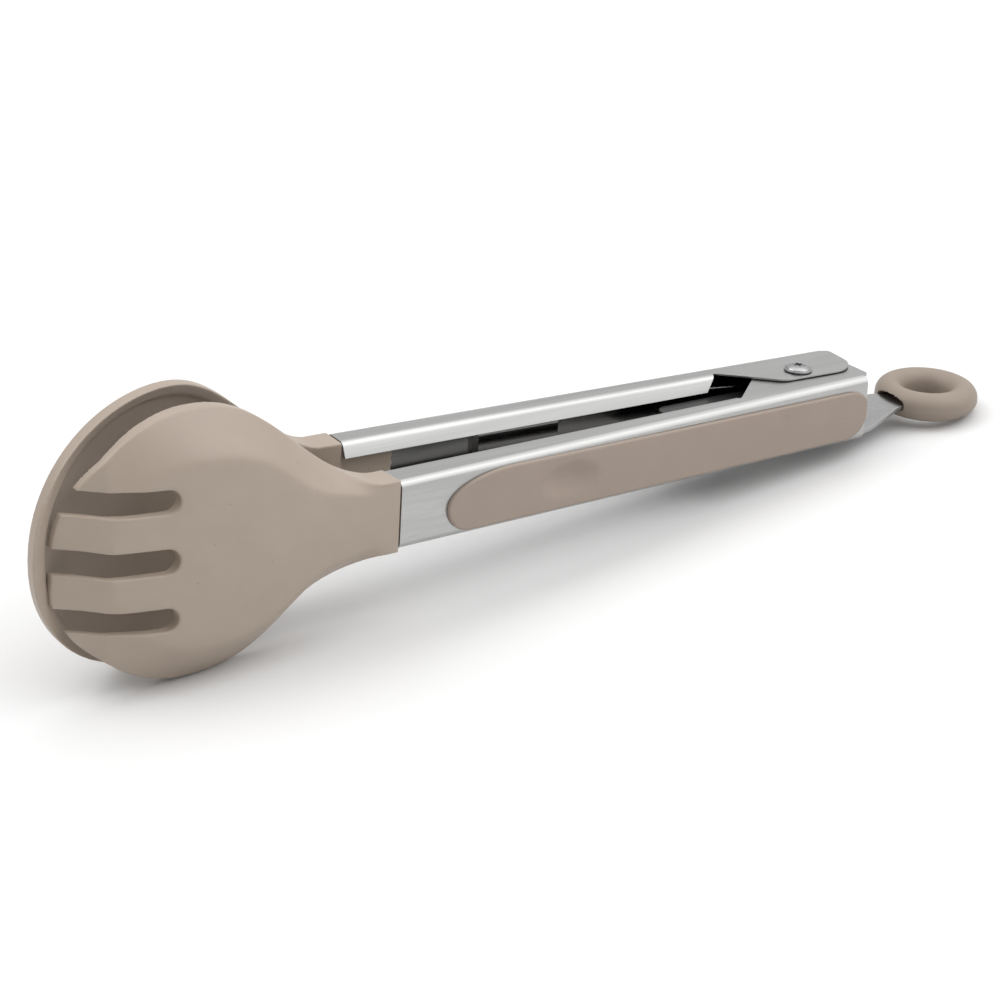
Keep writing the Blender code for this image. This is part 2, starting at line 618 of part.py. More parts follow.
def pivot_rivet(coll, mat):
    """Shank and two domed heads, turned about the rivet's axis."""
    seat = OUTER_HALF_HEIGHT + RUNNING_GAP
    dome = []
    for i in range(ARC_STEPS + 1):
        angle = math.pi / 2 * i / ARC_STEPS
        dome.append((RIVET_HEAD_RADIUS * math.sin(angle),
                     seat + RIVET_HEAD_EDGE + (RIVET_HEAD_HEIGHT - RIVET_HEAD_EDGE) * math.cos(angle)))
    top = dome + [(RIVET_HEAD_RADIUS, seat), (RIVET_RADIUS, seat)]
    profile = top + [(x, -z) for x, z in reversed(top)]
    bm = bmesh.new()
    verts = [bm.verts.new((x, 0, z)) for x, z in profile]
    for a, b in zip(verts, verts[1:]):
        bm.edges.new((a, b))
    rivet = mesh_object("pivot_rivet", bm, coll, mat)
    turn = rivet.modifiers.new("turned", "SCREW")
    turn.axis = "Z"
    turn.steps = ROUND_SIDES
    turn.render_steps = ROUND_SIDES
    turn.use_merge_vertices = True
    turn.merge_threshold = WELD_DISTANCE
    rivet.location = (PIVOT_X, 0, 0)
    return rivet


def leg_end(side):
    """Where a spring leg ends, just inside the web of the arm on that side."""
    web_inside = (WEB_OFFSET - SHEET) / math.cos(REST_ANGLE) + LEG_REACH * math.tan(REST_ANGLE)
    return Vector((-LEG_REACH, side * (web_inside - WIRE_RADIUS - SEAT_GAP)))


def spring_points():
    """Centre line of the spring: rear leg, coil, front leg."""
    end = leg_end(1)
    touch = math.atan2(end.y, end.x) - math.acos(COIL_RADIUS / end.length)
    sweep = 2 * touch + 2 * math.pi * COIL_TURNS
    count = round(COIL_POINTS * sweep / (2 * math.pi))
    height = COIL_PITCH * sweep / (2 * math.pi)
    coil = []
    for i in range(count + 1):
        angle = touch - sweep * i / count
        coil.append(Vector((COIL_RADIUS * math.cos(angle), COIL_RADIUS * math.sin(angle),
                            height / 2 - height * i / count)))
    rear = [Vector((*end, height / 2)).lerp(coil[0], i / LEG_POINTS) for i in range(LEG_POINTS)]
    front_end = Vector((*leg_end(-1), -height / 2))
    front = [coil[-1].lerp(front_end, (i + 1) / LEG_POINTS) for i in range(LEG_POINTS)]
    return rear + coil + front


def least_gap(points):
    """Least gap between stretches of the wire that aren't next to each other."""
    apart = COIL_POINTS // 2
    nearest = min((a - b).length for i, a in enumerate(points) for b in points[i + apart:])
    return nearest - 2 * WIRE_RADIUS


def torsion_spring(coll, mat):
    """The spring as one unbroken wire."""
    points = spring_points()
    print(f"torsion spring: least gap to itself {least_gap(points) / MM:.2f} mm")
    curve = bpy.data.curves.new("torsion_spring", "CURVE")
    curve.dimensions = "3D"
    curve.bevel_depth = WIRE_RADIUS
    curve.bevel_resolution = 1
    curve.use_fill_caps = True
    spline = curve.splines.new("POLY")
    spline.points.add(len(points) - 1)
    for point, co in zip(spline.points, points):
        point.co = (*co, 1)
    obj = bpy.data.objects.new("torsion_spring", curve)
    coll.objects.link(obj)
    bm = curve_to_bmesh(obj, Matrix.Identity(4))
    spring = mesh_object("torsion_spring", bm, coll, mat)
    spring.location = (PIVOT_X, 0, 0)
    return spring


def spring_housing(coll, cutters, mat):
    """The nylon cup that holds the coil, with a nose that fills the gap between the arms."""
    housing = round_solid("spring_housing", HOUSING_RADIUS, HOUSING_BOTTOM, HOUSING_TOP, coll, mat)
    nose = flat_solid("housing_nose", rounded_outline([
        (-NOSE_REACH, -NOSE_HALF_WIDTH, NOSE_TIP_RADIUS),
        (0, -NOSE_HALF_WIDTH, 0),
        (0, NOSE_HALF_WIDTH, 0),
        (-NOSE_REACH, NOSE_HALF_WIDTH, NOSE_TIP_RADIUS),
    ]), -NOSE_HALF_HEIGHT, NOSE_HALF_HEIGHT, cutters)
    boolean(housing, nose, "UNION")
    cavity_radius = HOUSING_RADIUS - HOUSING_WALL
    cavity = round_solid("housing_cavity", cavity_radius, HOUSING_BOTTOM - CUT_OVERRUN,
                         HOUSING_TOP - HOUSING_WALL, cutters)
    boolean(housing, cavity, "DIFFERENCE")
    bore = round_solid("housing_bore", RIVET_RADIUS + RUNNING_GAP, HOUSING_BOTTOM - CUT_OVERRUN,
                       HOUSING_TOP + CUT_OVERRUN, cutters)
    boolean(housing, bore, "DIFFERENCE")
    room = WIRE_RADIUS + RUNNING_GAP
    for side, level in ((1, spring_points()[0].z), (-1, spring_points()[-1].z)):
        inner = side * (COIL_RADIUS - room)
        outer = side * (HOUSING_RADIUS + CUT_OVERRUN)
        window = box(f"housing_window_{'rear' if side > 0 else 'front'}",
                     (-HOUSING_RADIUS - CUT_OVERRUN, min(inner, outer), level - room),
                     (0, max(inner, outer), level + room), cutters)
        boolean(housing, window, "DIFFERENCE")
    housing.location = (PIVOT_X, 0, 0)
    return housing


def tab_outline(grow):
    """Plan of the pull tab, grown all round for the pocket in the ring."""
    slope = (TAB_HALF_WIDTH - TAB_NECK_HALF_WIDTH) / (TAB_TAPER_END - TAB_TAPER_START)
    end_half = TAB_NECK_HALF_WIDTH - slope * (TAB_END - TAB_TAPER_END) + grow
    wide = TAB_HALF_WIDTH + grow
    return rounded_outline([
        (-TAB_INNER_END, -wide, TAB_CORNER_RADIUS),
        (TAB_TAPER_START, -wide, TAB_SHOULDER_RADIUS),
        (TAB_END + grow, -end_half, TAB_CORNER_RADIUS),
        (TAB_END + grow, end_half, TAB_CORNER_RADIUS),
        (TAB_TAPER_START, wide, TAB_SHOULDER_RADIUS),
        (-TAB_INNER_END, wide, TAB_CORNER_RADIUS),
    ])


def tab_frame():
    """The empty that carries the pull tab and its ring along the slide."""
    frame = bpy.data.objects.new("tab_frame", None)
    bpy.context.scene.collection.objects.link(frame)
    frame.empty_display_size = EAR_TAIL
    frame.location = (PIVOT_X, 0, 0)
    return frame


def joggled_slab(name, coll, mat):
    """The tab's side profile, run across its width: flat in the arms, raised at the ring."""
    half = TAB_THICKNESS / 2
    line = [(-TAB_INNER_END - CUT_OVERRUN, TAB_Z), (JOGGLE_START, TAB_Z), (JOGGLE_END, RING_Z),
            (TAB_END + CUT_OVERRUN, RING_Z)]
    outline = [(x, z - half) for x, z in line] + [(x, z + half) for x, z in reversed(line)]
    wide = TAB_HALF_WIDTH + CUT_OVERRUN
    return flat_solid(name, outline, -wide, wide, coll, mat, along="Y")


def pull_tab(frame, coll, cutters, mat):
    """Steel plate with a slot for the rivet and tapered edges that the arms' tails bear on."""
    tab = joggled_slab("pull_tab", coll, mat)
    reach = OUTER_HALF_HEIGHT
    plan = flat_solid("tab_plan", tab_outline(0), -reach, reach, cutters)
    boolean(tab, plan, "INTERSECT")
    slot_radius = RIVET_RADIUS + RUNNING_GAP
    slot = flat_solid("tab_slot", rounded_outline([
        (-slot_radius, -slot_radius, slot_radius * FULL_ROUND_SHARE),
        (TAB_PUSH + slot_radius, -slot_radius, slot_radius * FULL_ROUND_SHARE),
        (TAB_PUSH + slot_radius, slot_radius, slot_radius * FULL_ROUND_SHARE),
        (-slot_radius, slot_radius, slot_radius * FULL_ROUND_SHARE),
    ]), -reach, 0, cutters)
    boolean(tab, slot, "DIFFERENCE")
    tab.parent = frame
    return tab


def pull_ring(frame, coll, cutters, mat):
    """The moulded ring, with a pocket round the end of the tab."""
    bpy.ops.mesh.primitive_torus_add(major_radius=RING_RADIUS, minor_radius=RING_TUBE_RADIUS,
                                     major_segments=RING_STEPS, minor_segments=RING_TUBE_STEPS,
                                     location=(0, 0, 0))
    ring = bpy.context.object
    ring.name = "pull_ring"
    ring.data.name = "pull_ring"
    ring.data.materials.append(mat)
    ring.data.transform(Matrix.Translation((RING_CENTRE, 0, RING_Z)))
    ring.data.shade_smooth()
    for owner in list(ring.users_collection):
        owner.objects.unlink(ring)
    coll.objects.link(ring)
    half = TAB_THICKNESS / 2 + SEAT_GAP
    pocket = flat_solid("ring_pocket", tab_outline(SEAT_GAP), RING_Z - half, RING_Z + half, cutters)
    boolean(ring, pocket, "DIFFERENCE")
    ring.parent = frame
    return ring


def main():
    """Build the tongs."""
    clear_scene()
    tongs = new_collection("kitchen_tongs")
    cutters = new_collection("cutters")
    cutters.hide_render = True
    steel = material("brushed_steel", STEEL)
    spring_steel = material("spring_steel", SPRING_STEEL)
    nylon = material("taupe_nylon", TAUPE_NYLON)
    rubber = material("taupe_rubber", TAUPE_RUBBER)
    black = material("black_nylon", BLACK_NYLON)

    for label, side, half_height, ear_start, head_name, form in (
            ("front", -1, INNER_HALF_HEIGHT, FRONT_EAR_START, "fork_head", FORK),
            ("rear", 1, OUTER_HALF_HEIGHT, REAR_EAR_START, "spoon_head", SPOON)):
        frame = arm_frame(f"{label}_frame", side)
        pressed_arm(f"{label}_arm", half_height, ear_start, frame, tongs, cutters, steel)
        head(head_name, half_height, form, frame, tongs, cutters, nylon)
        grip(f"{label}_grip", frame, tongs, cutters, rubber)

    pivot_rivet(tongs, steel)
    torsion_spring(tongs, spring_steel)
    spring_housing(tongs, cutters, black)
    slide = tab_frame()
    pull_tab(slide, tongs, cutters, steel)
    pull_ring(slide, tongs, cutters, nylon)
    bpy.context.view_layer.update()


main()
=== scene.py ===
"""The looks of locking kitchen tongs: brushed stainless arms, moulded nylon heads, soft thumb pads.

Heads, pads, ring and rivet are modelled anew and finely; the pressed steel, the spring and the
housing are finished copies of the CAD nodes. One half is modelled in its own frame, with the rivet
at the origin, the head towards -X and the web on +Y, and is then put in place.
"""
import math
from collections import namedtuple

import bpy
from mathutils import Matrix, Vector


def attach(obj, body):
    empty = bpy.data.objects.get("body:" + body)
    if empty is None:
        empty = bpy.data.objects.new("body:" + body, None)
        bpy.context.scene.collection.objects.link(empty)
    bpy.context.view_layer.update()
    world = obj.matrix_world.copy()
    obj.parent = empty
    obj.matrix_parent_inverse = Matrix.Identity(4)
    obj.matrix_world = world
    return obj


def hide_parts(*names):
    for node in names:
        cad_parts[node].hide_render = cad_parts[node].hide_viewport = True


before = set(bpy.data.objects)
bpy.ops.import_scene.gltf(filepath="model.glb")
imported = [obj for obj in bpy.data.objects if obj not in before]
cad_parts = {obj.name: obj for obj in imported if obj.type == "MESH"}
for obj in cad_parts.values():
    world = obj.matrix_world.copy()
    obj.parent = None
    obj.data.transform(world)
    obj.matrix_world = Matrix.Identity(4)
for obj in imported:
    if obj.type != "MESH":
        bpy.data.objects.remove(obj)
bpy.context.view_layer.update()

MM = 0.001
HAIR = 0.01 * MM                       # picks points that lie on a line

# Arms: lipped channels, measured from the rivet's axis
WEB_OFFSET = 11.6 * MM                 # to the web's outer face
FLANGE_WIDTH = 5.95 * MM
SHEET = 0.6 * MM
FRONT_HALF_HEIGHT = 8.8 * MM
REAR_HALF_HEIGHT = 9.6 * MM
ARM_REACH = 134.0 * MM                 # to the steel's end
FRONT_EAR_START = 25.0 * MM
REAR_EAR_START = 21.6 * MM
REST_ANGLE = 0.042
PIVOT_X = 81.975 * MM
SEAT_GAP = 0.25 * MM                   # between the steel and what is seated in it
CAD_WEB_BEND = 1.0 * MM
CAD_LIP_BEND = 1.3 * MM
WEB_BEND = 2.1 * MM
LIP_BEND = 2.0 * MM
LIP_TURN = math.radians(66)            # the lip isn't folded the whole 90 degrees
LIP_STRETCH = 1.2
FRONT_TAPER = 2.8 * MM                 # deeper at the head's end than at the ears
REAR_TAPER = 1.7 * MM
FLANGE_HOLD = 7.0 * MM                 # the flange makes room for the web's bend above this
FLANGE_SQUEEZE = 0.694
POCKET_FLOOR = 8.6 * MM
POCKET_DEPTH_IN_CAD = 0.7 * MM
POCKET_HALF = 3.4 * MM
POCKET_PINCH = 0.85                    # a narrower floor gives the walls their slope
POCKET_REACH = 6.5 * MM
CUT_EDGE = 0.11 * MM
TAB_EDGE = 0.18 * MM

# Necks and heads
HEAD_CENTRE = ARM_REACH + 52.5 * MM    # middle of the round
FLARE_START = ARM_REACH + 3.5 * MM
FLARE_END = HEAD_CENTRE + 4.0 * MM
COLLAR_END = ARM_REACH + 3.5 * MM
COLLAR_FADE = 5.0 * MM
NECK_THICKNESS = 8.3 * MM
THINNED = ARM_REACH + 27.0 * MM
SHOULDER_START = ARM_REACH + 3.0 * MM
SHOULDER_END = ARM_REACH + 24.0 * MM
SHOULDER_LIFT = 1.8 * MM               # the fork's rim falls less beside the shoulder
CREASE = 0.70                          # where the fork's face creases, from middle to edge
CREASE_PINCH = 0.13
CREASE_PINCH_AT = ARM_REACH + 23 * MM
CREASE_PINCH_LENGTH = 9 * MM
CREASE_SOFTNESS = 0.022
CROWN_SHARE = 0.15                     # how much of the fork's fall comes before the crease
BOWL_POWER = 2.6
TINE_KINK = ARM_REACH + 75.2 * MM
KINK_SOFTNESS = 0.35 * MM
SPOON_RIM_BAND = 3.6 * MM
SPOON_RIM_FADE = 1.4 * MM
SLOT_END = HEAD_CENTRE + 6.7 * MM
MIDDLE_SLOT = 6.2 * MM
SIDE_SLOT = 5.8 * MM
TINE_WIDTH = 8.7 * MM
TONGUE_LENGTH = 15.0 * MM
TONGUE_INTO_NECK = 3.0 * MM
TONGUE_NOTCH = 0.7 * MM
TONGUE_NOTCHES = 7
HEAD_CELL = 0.75 * MM
HEAD_LEAD = 1.3 * MM                   # the grid starts this far before the steel's end
HEAD_MARGIN = 1.5 * MM                 # and is trimmed by this much at its other sides
HEAD_VOXEL = 0.25 * MM
HEAD_KEPT = 0.36                       # share of the fine mesh that is kept

# Pads
GRIP_PROUD = 1.0 * MM
GRIP_SEAT = 0.03 * MM
GRIP_HALF_HEIGHT = 7.4 * MM
GRIP_LEVEL = 1.0 * MM                  # the drawn-out end lies this far off the middle line
GRIP_FRONT = ARM_REACH - 13.5 * MM
GRIP_BACK = 14.4 * MM
GRIP_SLANT = 20 * MM                   # length of the end's long side
GRIP_ROUND = 6.8 * MM                  # and of its short side
GRIP_CORNERS = ((-1, 7.0 * MM, 3.8 * MM), (1, 6.8 * MM, 6.2 * MM))
GRIP_FALL = 1.7 * MM
GRIP_EDGE = 0.7 * MM
DIMPLE_CENTRE = 83.5 * MM
DIMPLE_HALF_LENGTH = 9.5 * MM
DIMPLE_HALF_WIDTH = 5.2 * MM
DIMPLE_DEPTH = 1.8 * MM
LUG_CENTRE = 80.2 * MM
LUG_HALF_LENGTH = 10.6 * MM
LUG_HALF_WIDTH = 4.8 * MM
LUG_DEPTH = 1.9 * MM

# Rivet
RIVET_RADIUS = 2.5 * MM
RIVET_HEAD_RADIUS = 3.7 * MM
RIVET_HEAD_HEIGHT = 1.3 * MM
RIVET_RIM = 0.34 * MM
RIVET_SEAT = REAR_HALF_HEIGHT + 0.3 * MM
STAR_POINTS = 6
STAR_OUTER = 1.8 * MM
STAR_INNER = 0.75 * MM
STAR_DEPTH = 0.5 * MM
STAR_TURN = 0.2

# Ring and the tab's end inside it, measured from the rivet
RING_CENTRE = 45.7 * MM
RING_RADIUS = 10.05 * MM
RING_TUBE_RADIUS = 3.8 * MM
RING_Z = -4.8 * MM
RIDGE_Z = -0.9 * MM
RIDGE_HEIGHT = 0.14 * MM
RIDGE_WIDTH = 0.28 * MM
TAB_THICKNESS = 1.2 * MM
TAB_ENTRY = 32.4 * MM
TAB_ENTRY_HALF = 5.4 * MM
TAB_SHOULDER = 37.4 * MM
TAB_END = 38.0 * MM
TAB_END_HALF = 4.01 * MM
TAB_CORNER = 0.6 * MM
TAB_BULGE = 0.12 * MM
TAB_ROOM = 0.15 * MM
MOUTH_CENTRE = 33.4 * MM
MOUTH_HALF = (3.4 * MM, 5.3 * MM, 1.7 * MM)

HeadForm = namedtuple("HeadForm", (
    "radius", "nose", "fullness", "low_tip", "flare_power", "proud", "collar", "flat_end",
    "tip_depth", "fall_power", "rim_depth", "rim_rise", "bend_slope", "wall", "thinning",
    "band_step", "slotted"))
FORK = HeadForm(
    radius=33.7 * MM, nose=33 * MM, fullness=2.0, low_tip=1.5 * MM, flare_power=3.65,
    proud=0.4 * MM, collar=0.1 * MM, flat_end=ARM_REACH + 26 * MM, tip_depth=9.9 * MM,
    fall_power=2.0, rim_depth=10.7 * MM, rim_rise=0, bend_slope=0.62, wall=3.3 * MM,
    thinning=1.1 * MM, band_step=0, slotted=True)
SPOON = HeadForm(
    radius=34 * MM, nose=37 * MM, fullness=2.08, low_tip=0, flare_power=3.3,
    proud=-0.6 * MM, collar=0.6 * MM, flat_end=ARM_REACH + 28 * MM, tip_depth=21.1 * MM,
    fall_power=2.6, rim_depth=10.1 * MM, rim_rise=11.0 * MM, bend_slope=0, wall=2.3 * MM,
    thinning=0, band_step=1.2 * MM, slotted=False)

# Studio; the camera was fitted to the photograph's outlines
CAMERA_ANGLES = (-35.246, 22.319, 3.179)    # azimuth, elevation and roll in degrees
CAMERA_ASIDE = -0.07714
CAMERA_LIFT = -0.02519
CAMERA_BACK = 0.91284
FOCAL_LENGTH = 3482.77 / 1001               # in picture widths
SENSOR_MM = 36
TABLE_SLOPE = 0.10556
TABLE_GAP = 0.15 * MM
PANEL_TOWARDS = (0.53, -0.55, 0.645)
KEY_TRAVEL = (0.62, -0.42, -0.66)


def only(piece):
    """Select one piece and nothing else, for the operators."""
    bpy.ops.object.select_all(action="DESELECT")
    piece.select_set(True)
    bpy.context.view_layer.objects.active = piece


def take(name):
    """The primitive that was just added, named."""
    piece = bpy.context.object
    piece.name = name
    piece.data.name = name
    return piece


def edit(piece, *steps):
    """Run edit mode steps on the whole of a piece, or on what each step selects."""
    only(piece)
    bpy.ops.object.mode_set(mode="EDIT")
    for step in steps:
        step()
    bpy.ops.object.mode_set(mode="OBJECT")


def finish_with(piece, kind, **settings):
    """Add a modifier with its settings and apply it."""
    modifier = piece.modifiers.new(kind.lower(), kind)
    for key, value in settings.items():
        setattr(modifier, key, value)
    only(piece)
    bpy.ops.object.modifier_apply(modifier=modifier.name)


def cut_or_join(piece, tool, operation):
    """Boolean with a tool that is then thrown away."""
    finish_with(piece, "BOOLEAN", operation=operation, solver="EXACT", object=tool)
    bpy.data.objects.remove(tool, do_unlink=True)


def break_edges(piece, width):
    """A small round on every edge that turns more than a bend's facets do."""
    finish_with(piece, "BEVEL", width=width, segments=2, limit_method="ANGLE",
                angle_limit=math.radians(40), use_clamp_overlap=False)


def melt(piece, voxel, steps):
    """One skin of small even faces, its edges softened."""
    finish_with(piece, "REMESH", mode="VOXEL", voxel_size=voxel)
    finish_with(piece, "SMOOTH", factor=0.5, iterations=steps)


def weld_and_face_out(piece):
    """Merge doubles, then turn every face outwards."""
    edit(piece,
         lambda: bpy.ops.mesh.select_all(action="SELECT"),
         lambda: bpy.ops.mesh.remove_doubles(threshold=0.0005 * MM),
         lambda: bpy.ops.mesh.normals_make_consistent(inside=False))


def prism(name, outline, low, high, along="Y"):
    """A circle whose points are drawn out to an outline, filled and pulled along an axis."""
    bpy.ops.object.select_all(action="DESELECT")
    bpy.ops.mesh.primitive_circle_add(vertices=len(outline), radius=1, fill_type="NGON")
    piece = take(name)
    for vert, (a, b) in zip(piece.data.vertices, outline):
        vert.co = (a, low, b) if along == "Y" else (a, b, low)
    pull = (0, high - low, 0) if along == "Y" else (0, 0, high - low)
    edit(piece,
         lambda: bpy.ops.mesh.select_all(action="SELECT"),
         lambda: bpy.ops.mesh.extrude_region_move(TRANSFORM_OT_translate={"value": pull}),
         lambda: bpy.ops.mesh.select_all(action="SELECT"),
         lambda: bpy.ops.mesh.normals_make_consistent(inside=False))
    return piece


def place_key(co):
    """A point as a key, so that it can be found again."""
    return tuple(round(c, 8) for c in co)


def pull_rings(piece, start, rings):
    """Extrude an edge loop from ring to ring; the last ring may close on a line or a point."""
    last = start
    mesh = piece.data
    for ring in rings:
        here = {place_key(co): i for i, co in enumerate(last)}
        chosen = [place_key(v.co) in here for v in mesh.vertices]
        mesh.polygons.foreach_set("select", [False] * len(mesh.polygons))
        mesh.edges.foreach_set("select", [False] * len(mesh.edges))
        mesh.vertices.foreach_set("select", chosen)
        edit(piece,
             lambda: bpy.ops.mesh.select_mode(type="VERT"),
             lambda: bpy.ops.mesh.extrude_region_move())
        for vert in mesh.vertices:
            if vert.select:
                vert.co = ring[here[place_key(vert.co)]]
        last = [tuple(Vector(co)) for co in ring]


def ringed(name, start, up, down):
    """A closed form of rings, from the widest both ways, each way ending on a line or a point."""
    bpy.ops.object.select_all(action="DESELECT")
    bpy.ops.mesh.primitive_circle_add(vertices=len(start), radius=1, fill_type="NOTHING")
    piece = take(name)
    for vert, co in zip(piece.data.vertices, start):
        vert.co = co
    stored = [tuple(v.co) for v in piece.data.vertices]
    pull_rings(piece, stored, up)
    pull_rings(piece, stored, down)
    weld_and_face_out(piece)
    return piece


def smooth_faces(piece, degrees):
    """Smooth shading, with edges past an angle left sharp."""
    only(piece)
    bpy.ops.object.shade_smooth_by_angle(angle=math.radians(degrees))


def shade_sheet(piece):
    """Shading for sheet metal: flat faces stay flat up to their broken edges."""
    smooth_faces(piece, 32)
    finish_with(piece, "WEIGHTED_NORMAL", keep_sharp=True, weight=80)


def half_frame(side):
    """From one half's own frame to its place, with the arms at rest."""
    turn = Matrix.Rotation(-side * REST_ANGLE, 4, "Z")
    flip = Matrix.Rotation(math.pi if side < 0 else 0, 4, "X")
    return Matrix.Translation((PIVOT_X, 0, 0)) @ turn @ flip


def place_half(piece, side):
    """Put a piece of one half in its place."""
    piece.data.transform(half_frame(side))
    piece.data.update()


def welded_copy(node, name):
    """A copy of a CAD node, its doubles merged."""
    piece = bpy.data.objects.new(name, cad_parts[node].data.copy())
    bpy.context.scene.collection.objects.link(piece)
    piece.data.materials.clear()
    weld_and_face_out(piece)
    return piece


def finished_copy(node, name):
    """A welded copy of a CAD node, with its flat faces made whole again."""
    piece = welded_copy(node, name)
    edit(piece,
         lambda: bpy.ops.mesh.select_all(action="SELECT"),
         lambda: bpy.ops.mesh.dissolve_limited(angle_limit=math.radians(0.6)))
    return piece


def dress(piece, finish, body, node):
    """Give a piece its material and body, and hide the CAD node it stands for."""
    piece.data.materials.clear()
    piece.data.materials.append(finish)
    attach(piece, body)
    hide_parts(node)


def srgb(code):
    """A linear colour from an sRGB hex value."""
    channels = [int(code[i:i + 2], 16) / 255 for i in (1, 3, 5)]
    linear = [c / 12.92 if c <= 0.04045 else ((c + 0.055) / 1.055) ** 2.4 for c in channels]
    return (*linear, 1)


def add(tree, kind, inputs=None, **settings):
    """Add a shader node with its settings; an input is a value or another node's output."""
    node = tree.nodes.new(f"ShaderNode{kind}")
    for key, value in settings.items():
        setattr(node, key, value)
    for key, value in (inputs or {}).items():
        if isinstance(value, bpy.types.NodeSocket):
            tree.links.new(value, node.inputs[key])
        else:
            node.inputs[key].default_value = value
    return node


def combine(tree, operation, first, second):
    """Two values or outputs through a maths node."""
    return add(tree, "Math", {0: first, 1: second}, operation=operation).outputs[0]


def ramp(tree, value, from_range, to_range, **settings):
    """A value carried from one range to another."""
    return add(tree, "MapRange", {"Value": value, "From Min": from_range[0],
                                  "From Max": from_range[1], "To Min": to_range[0],
                                  "To Max": to_range[1]}, **settings).outputs["Result"]


def blend_colors(tree, share, first, second):
    """Mix two colours, each a value or an output."""
    mix = add(tree, "Mix", {0: share, 6: first, 7: second}, data_type="RGBA")
    return mix.outputs[2]


def new_material(name, **constants):
    """An empty material with its shader; constants go on the shader's own sockets."""
    finish = bpy.data.materials.new(name)
    finish.use_nodes = True
    tree = finish.node_tree
    shader = tree.nodes["Principled BSDF"]
    for key, value in constants.items():
        shader.inputs[key.replace("_", " ")].default_value = value
    place = add(tree, "TexCoord").outputs["Object"]
    return finish, tree, shader, place


def wire_up(tree, shader, color, roughness, height, strength, depth):
    """Link a colour, a roughness and a relief to the shader."""
    tree.links.new(color, shader.inputs["Base Color"])
    tree.links.new(roughness, shader.inputs["Roughness"])
    bump = add(tree, "Bump", {"Height": height, "Strength": strength, "Distance": depth})
    tree.links.new(bump.outputs["Normal"], shader.inputs["Normal"])


def moulded_plastic(name, base, light, speck, roughness, grain, depth, ior):
    """Moulded plastic: faint clouding, a fine satin grain from the mould, a few dark specks."""
    finish, tree, shader, place = new_material(name, IOR=ior)
    clouds = add(tree, "TexNoise", {"Vector": place, "Scale": 1 / (9 * MM), "Detail": 3.0,
                                    "Roughness": 0.55}).outputs["Fac"]
    clouded = ramp(tree, clouds, (0.3, 0.72), (0, 1))
    color = blend_colors(tree, clouded, srgb(base), srgb(light))
    # Specks 0.4 mm across, in about a third of the 4 mm cells
    cells = add(tree, "TexVoronoi", {"Vector": place, "Scale": 1 / (4 * MM), "Randomness": 1.0})
    near = combine(tree, "LESS_THAN", cells.outputs["Distance"], 0.055)
    chance = add(tree, "SeparateColor", {"Color": cells.outputs["Color"]})
    rare = combine(tree, "LESS_THAN", chance.outputs["Red"], 0.36)
    softened = combine(tree, "MULTIPLY", combine(tree, "MULTIPLY", near, rare), 0.55)
    color = blend_colors(tree, softened, color, srgb(speck))
    texture = add(tree, "TexNoise", {"Vector": place, "Scale": 1 / grain, "Detail": 2.0})
    shine = ramp(tree, clouds, (0, 1), (roughness - 0.05, roughness + 0.06))
    wire_up(tree, shader, color, shine, texture.outputs["Fac"], 0.6, depth)
    return finish


def drawn_out(tree, place, turn, length, width):
    """Coordinates stretched along the sheet, for marks of a length and a width."""
    return add(tree, "Mapping", {"Vector": place, "Rotation": (0, 0, turn),
                                 "Scale": (1 / length, 1 / width, 1 / width)}).outputs[0]


def brushed_stainless(name, turn, base, dark, low, high, streak=0.35 * MM, depth=0.0035 * MM):
    """Stainless sheet, brushed along its length: long fine scratches that blur what it mirrors.

    The brush lines are a few hundredths of a millimetre apart, too fine to show, so they are
    drawn 0.35 mm apart and 60 mm long."""
    finish, tree, shader, place = new_material(name, Metallic=1.0)
    along = drawn_out(tree, place, turn, 60 * MM, streak)
    streaks = add(tree, "TexNoise", {"Vector": along, "Scale": 1.0, "Detail": 4.0,
                                     "Roughness": 0.65}).outputs["Fac"]
    broad = drawn_out(tree, place, turn, 110 * MM, 3 * MM)
    bands = add(tree, "TexNoise", {"Vector": broad, "Scale": 1.0, "Detail": 2.0}).outputs["Fac"]
    spread = ramp(tree, combine(tree, "MULTIPLY", streaks, bands), (0.14, 0.38), (0, 1))
    color = blend_colors(tree, spread, srgb(dark), srgb(base))
    rough = ramp(tree, streaks, (0.3, 0.7), (low, high))
    wire_up(tree, shader, color, rough, streaks, 0.5, depth)
    return finish


# Glass-filled nylon in taupe, spark-textured mould: an even satin that holds soft highlights
taupe_nylon = moulded_plastic("moulded_taupe_nylon", "#9B8D80", "#9F9184", "#5A4F46",
                              0.40, 0.5 * MM, 0.012 * MM, 1.53)
# The ring is the same nylon from its own mould, a shade redder
ring_nylon = moulded_plastic("moulded_ring_nylon", "#877A6E", "#8B7E72", "#5E5148",
                             0.5, 0.5 * MM, 0.01 * MM, 1.53)
# Soft TPE over the steel: matt, almost no highlight
grip_rubber = moulded_plastic("soft_grip_rubber", "#93857A", "#97897E", "#6E6057",
                              0.66, 0.45 * MM, 0.014 * MM, 1.5)
# Black nylon cup: sooty, with a low grazing shine
black_nylon = moulded_plastic("moulded_black_nylon", "#0B0B0A", "#131312", "#2C2C2B",
                              0.42, 0.5 * MM, 0.01 * MM, 1.53)
# The arms' brushed faces: bright lines along the bends, a soft grey on the flats
front_steel = brushed_stainless("brushed_stainless_front", -REST_ANGLE, "#BABAB9", "#ADADAC",
                                0.28, 0.38)
rear_steel = brushed_stainless("brushed_stainless_rear", REST_ANGLE, "#BABAB9", "#ADADAC",
                               0.28, 0.38)
# The tab's brushing is finer and a little duller
tab_steel = brushed_stainless("brushed_stainless_tab", 0, "#ADADAD", "#A2A2A2",
                              0.26, 0.38, 0.35 * MM, 0.0015 * MM)
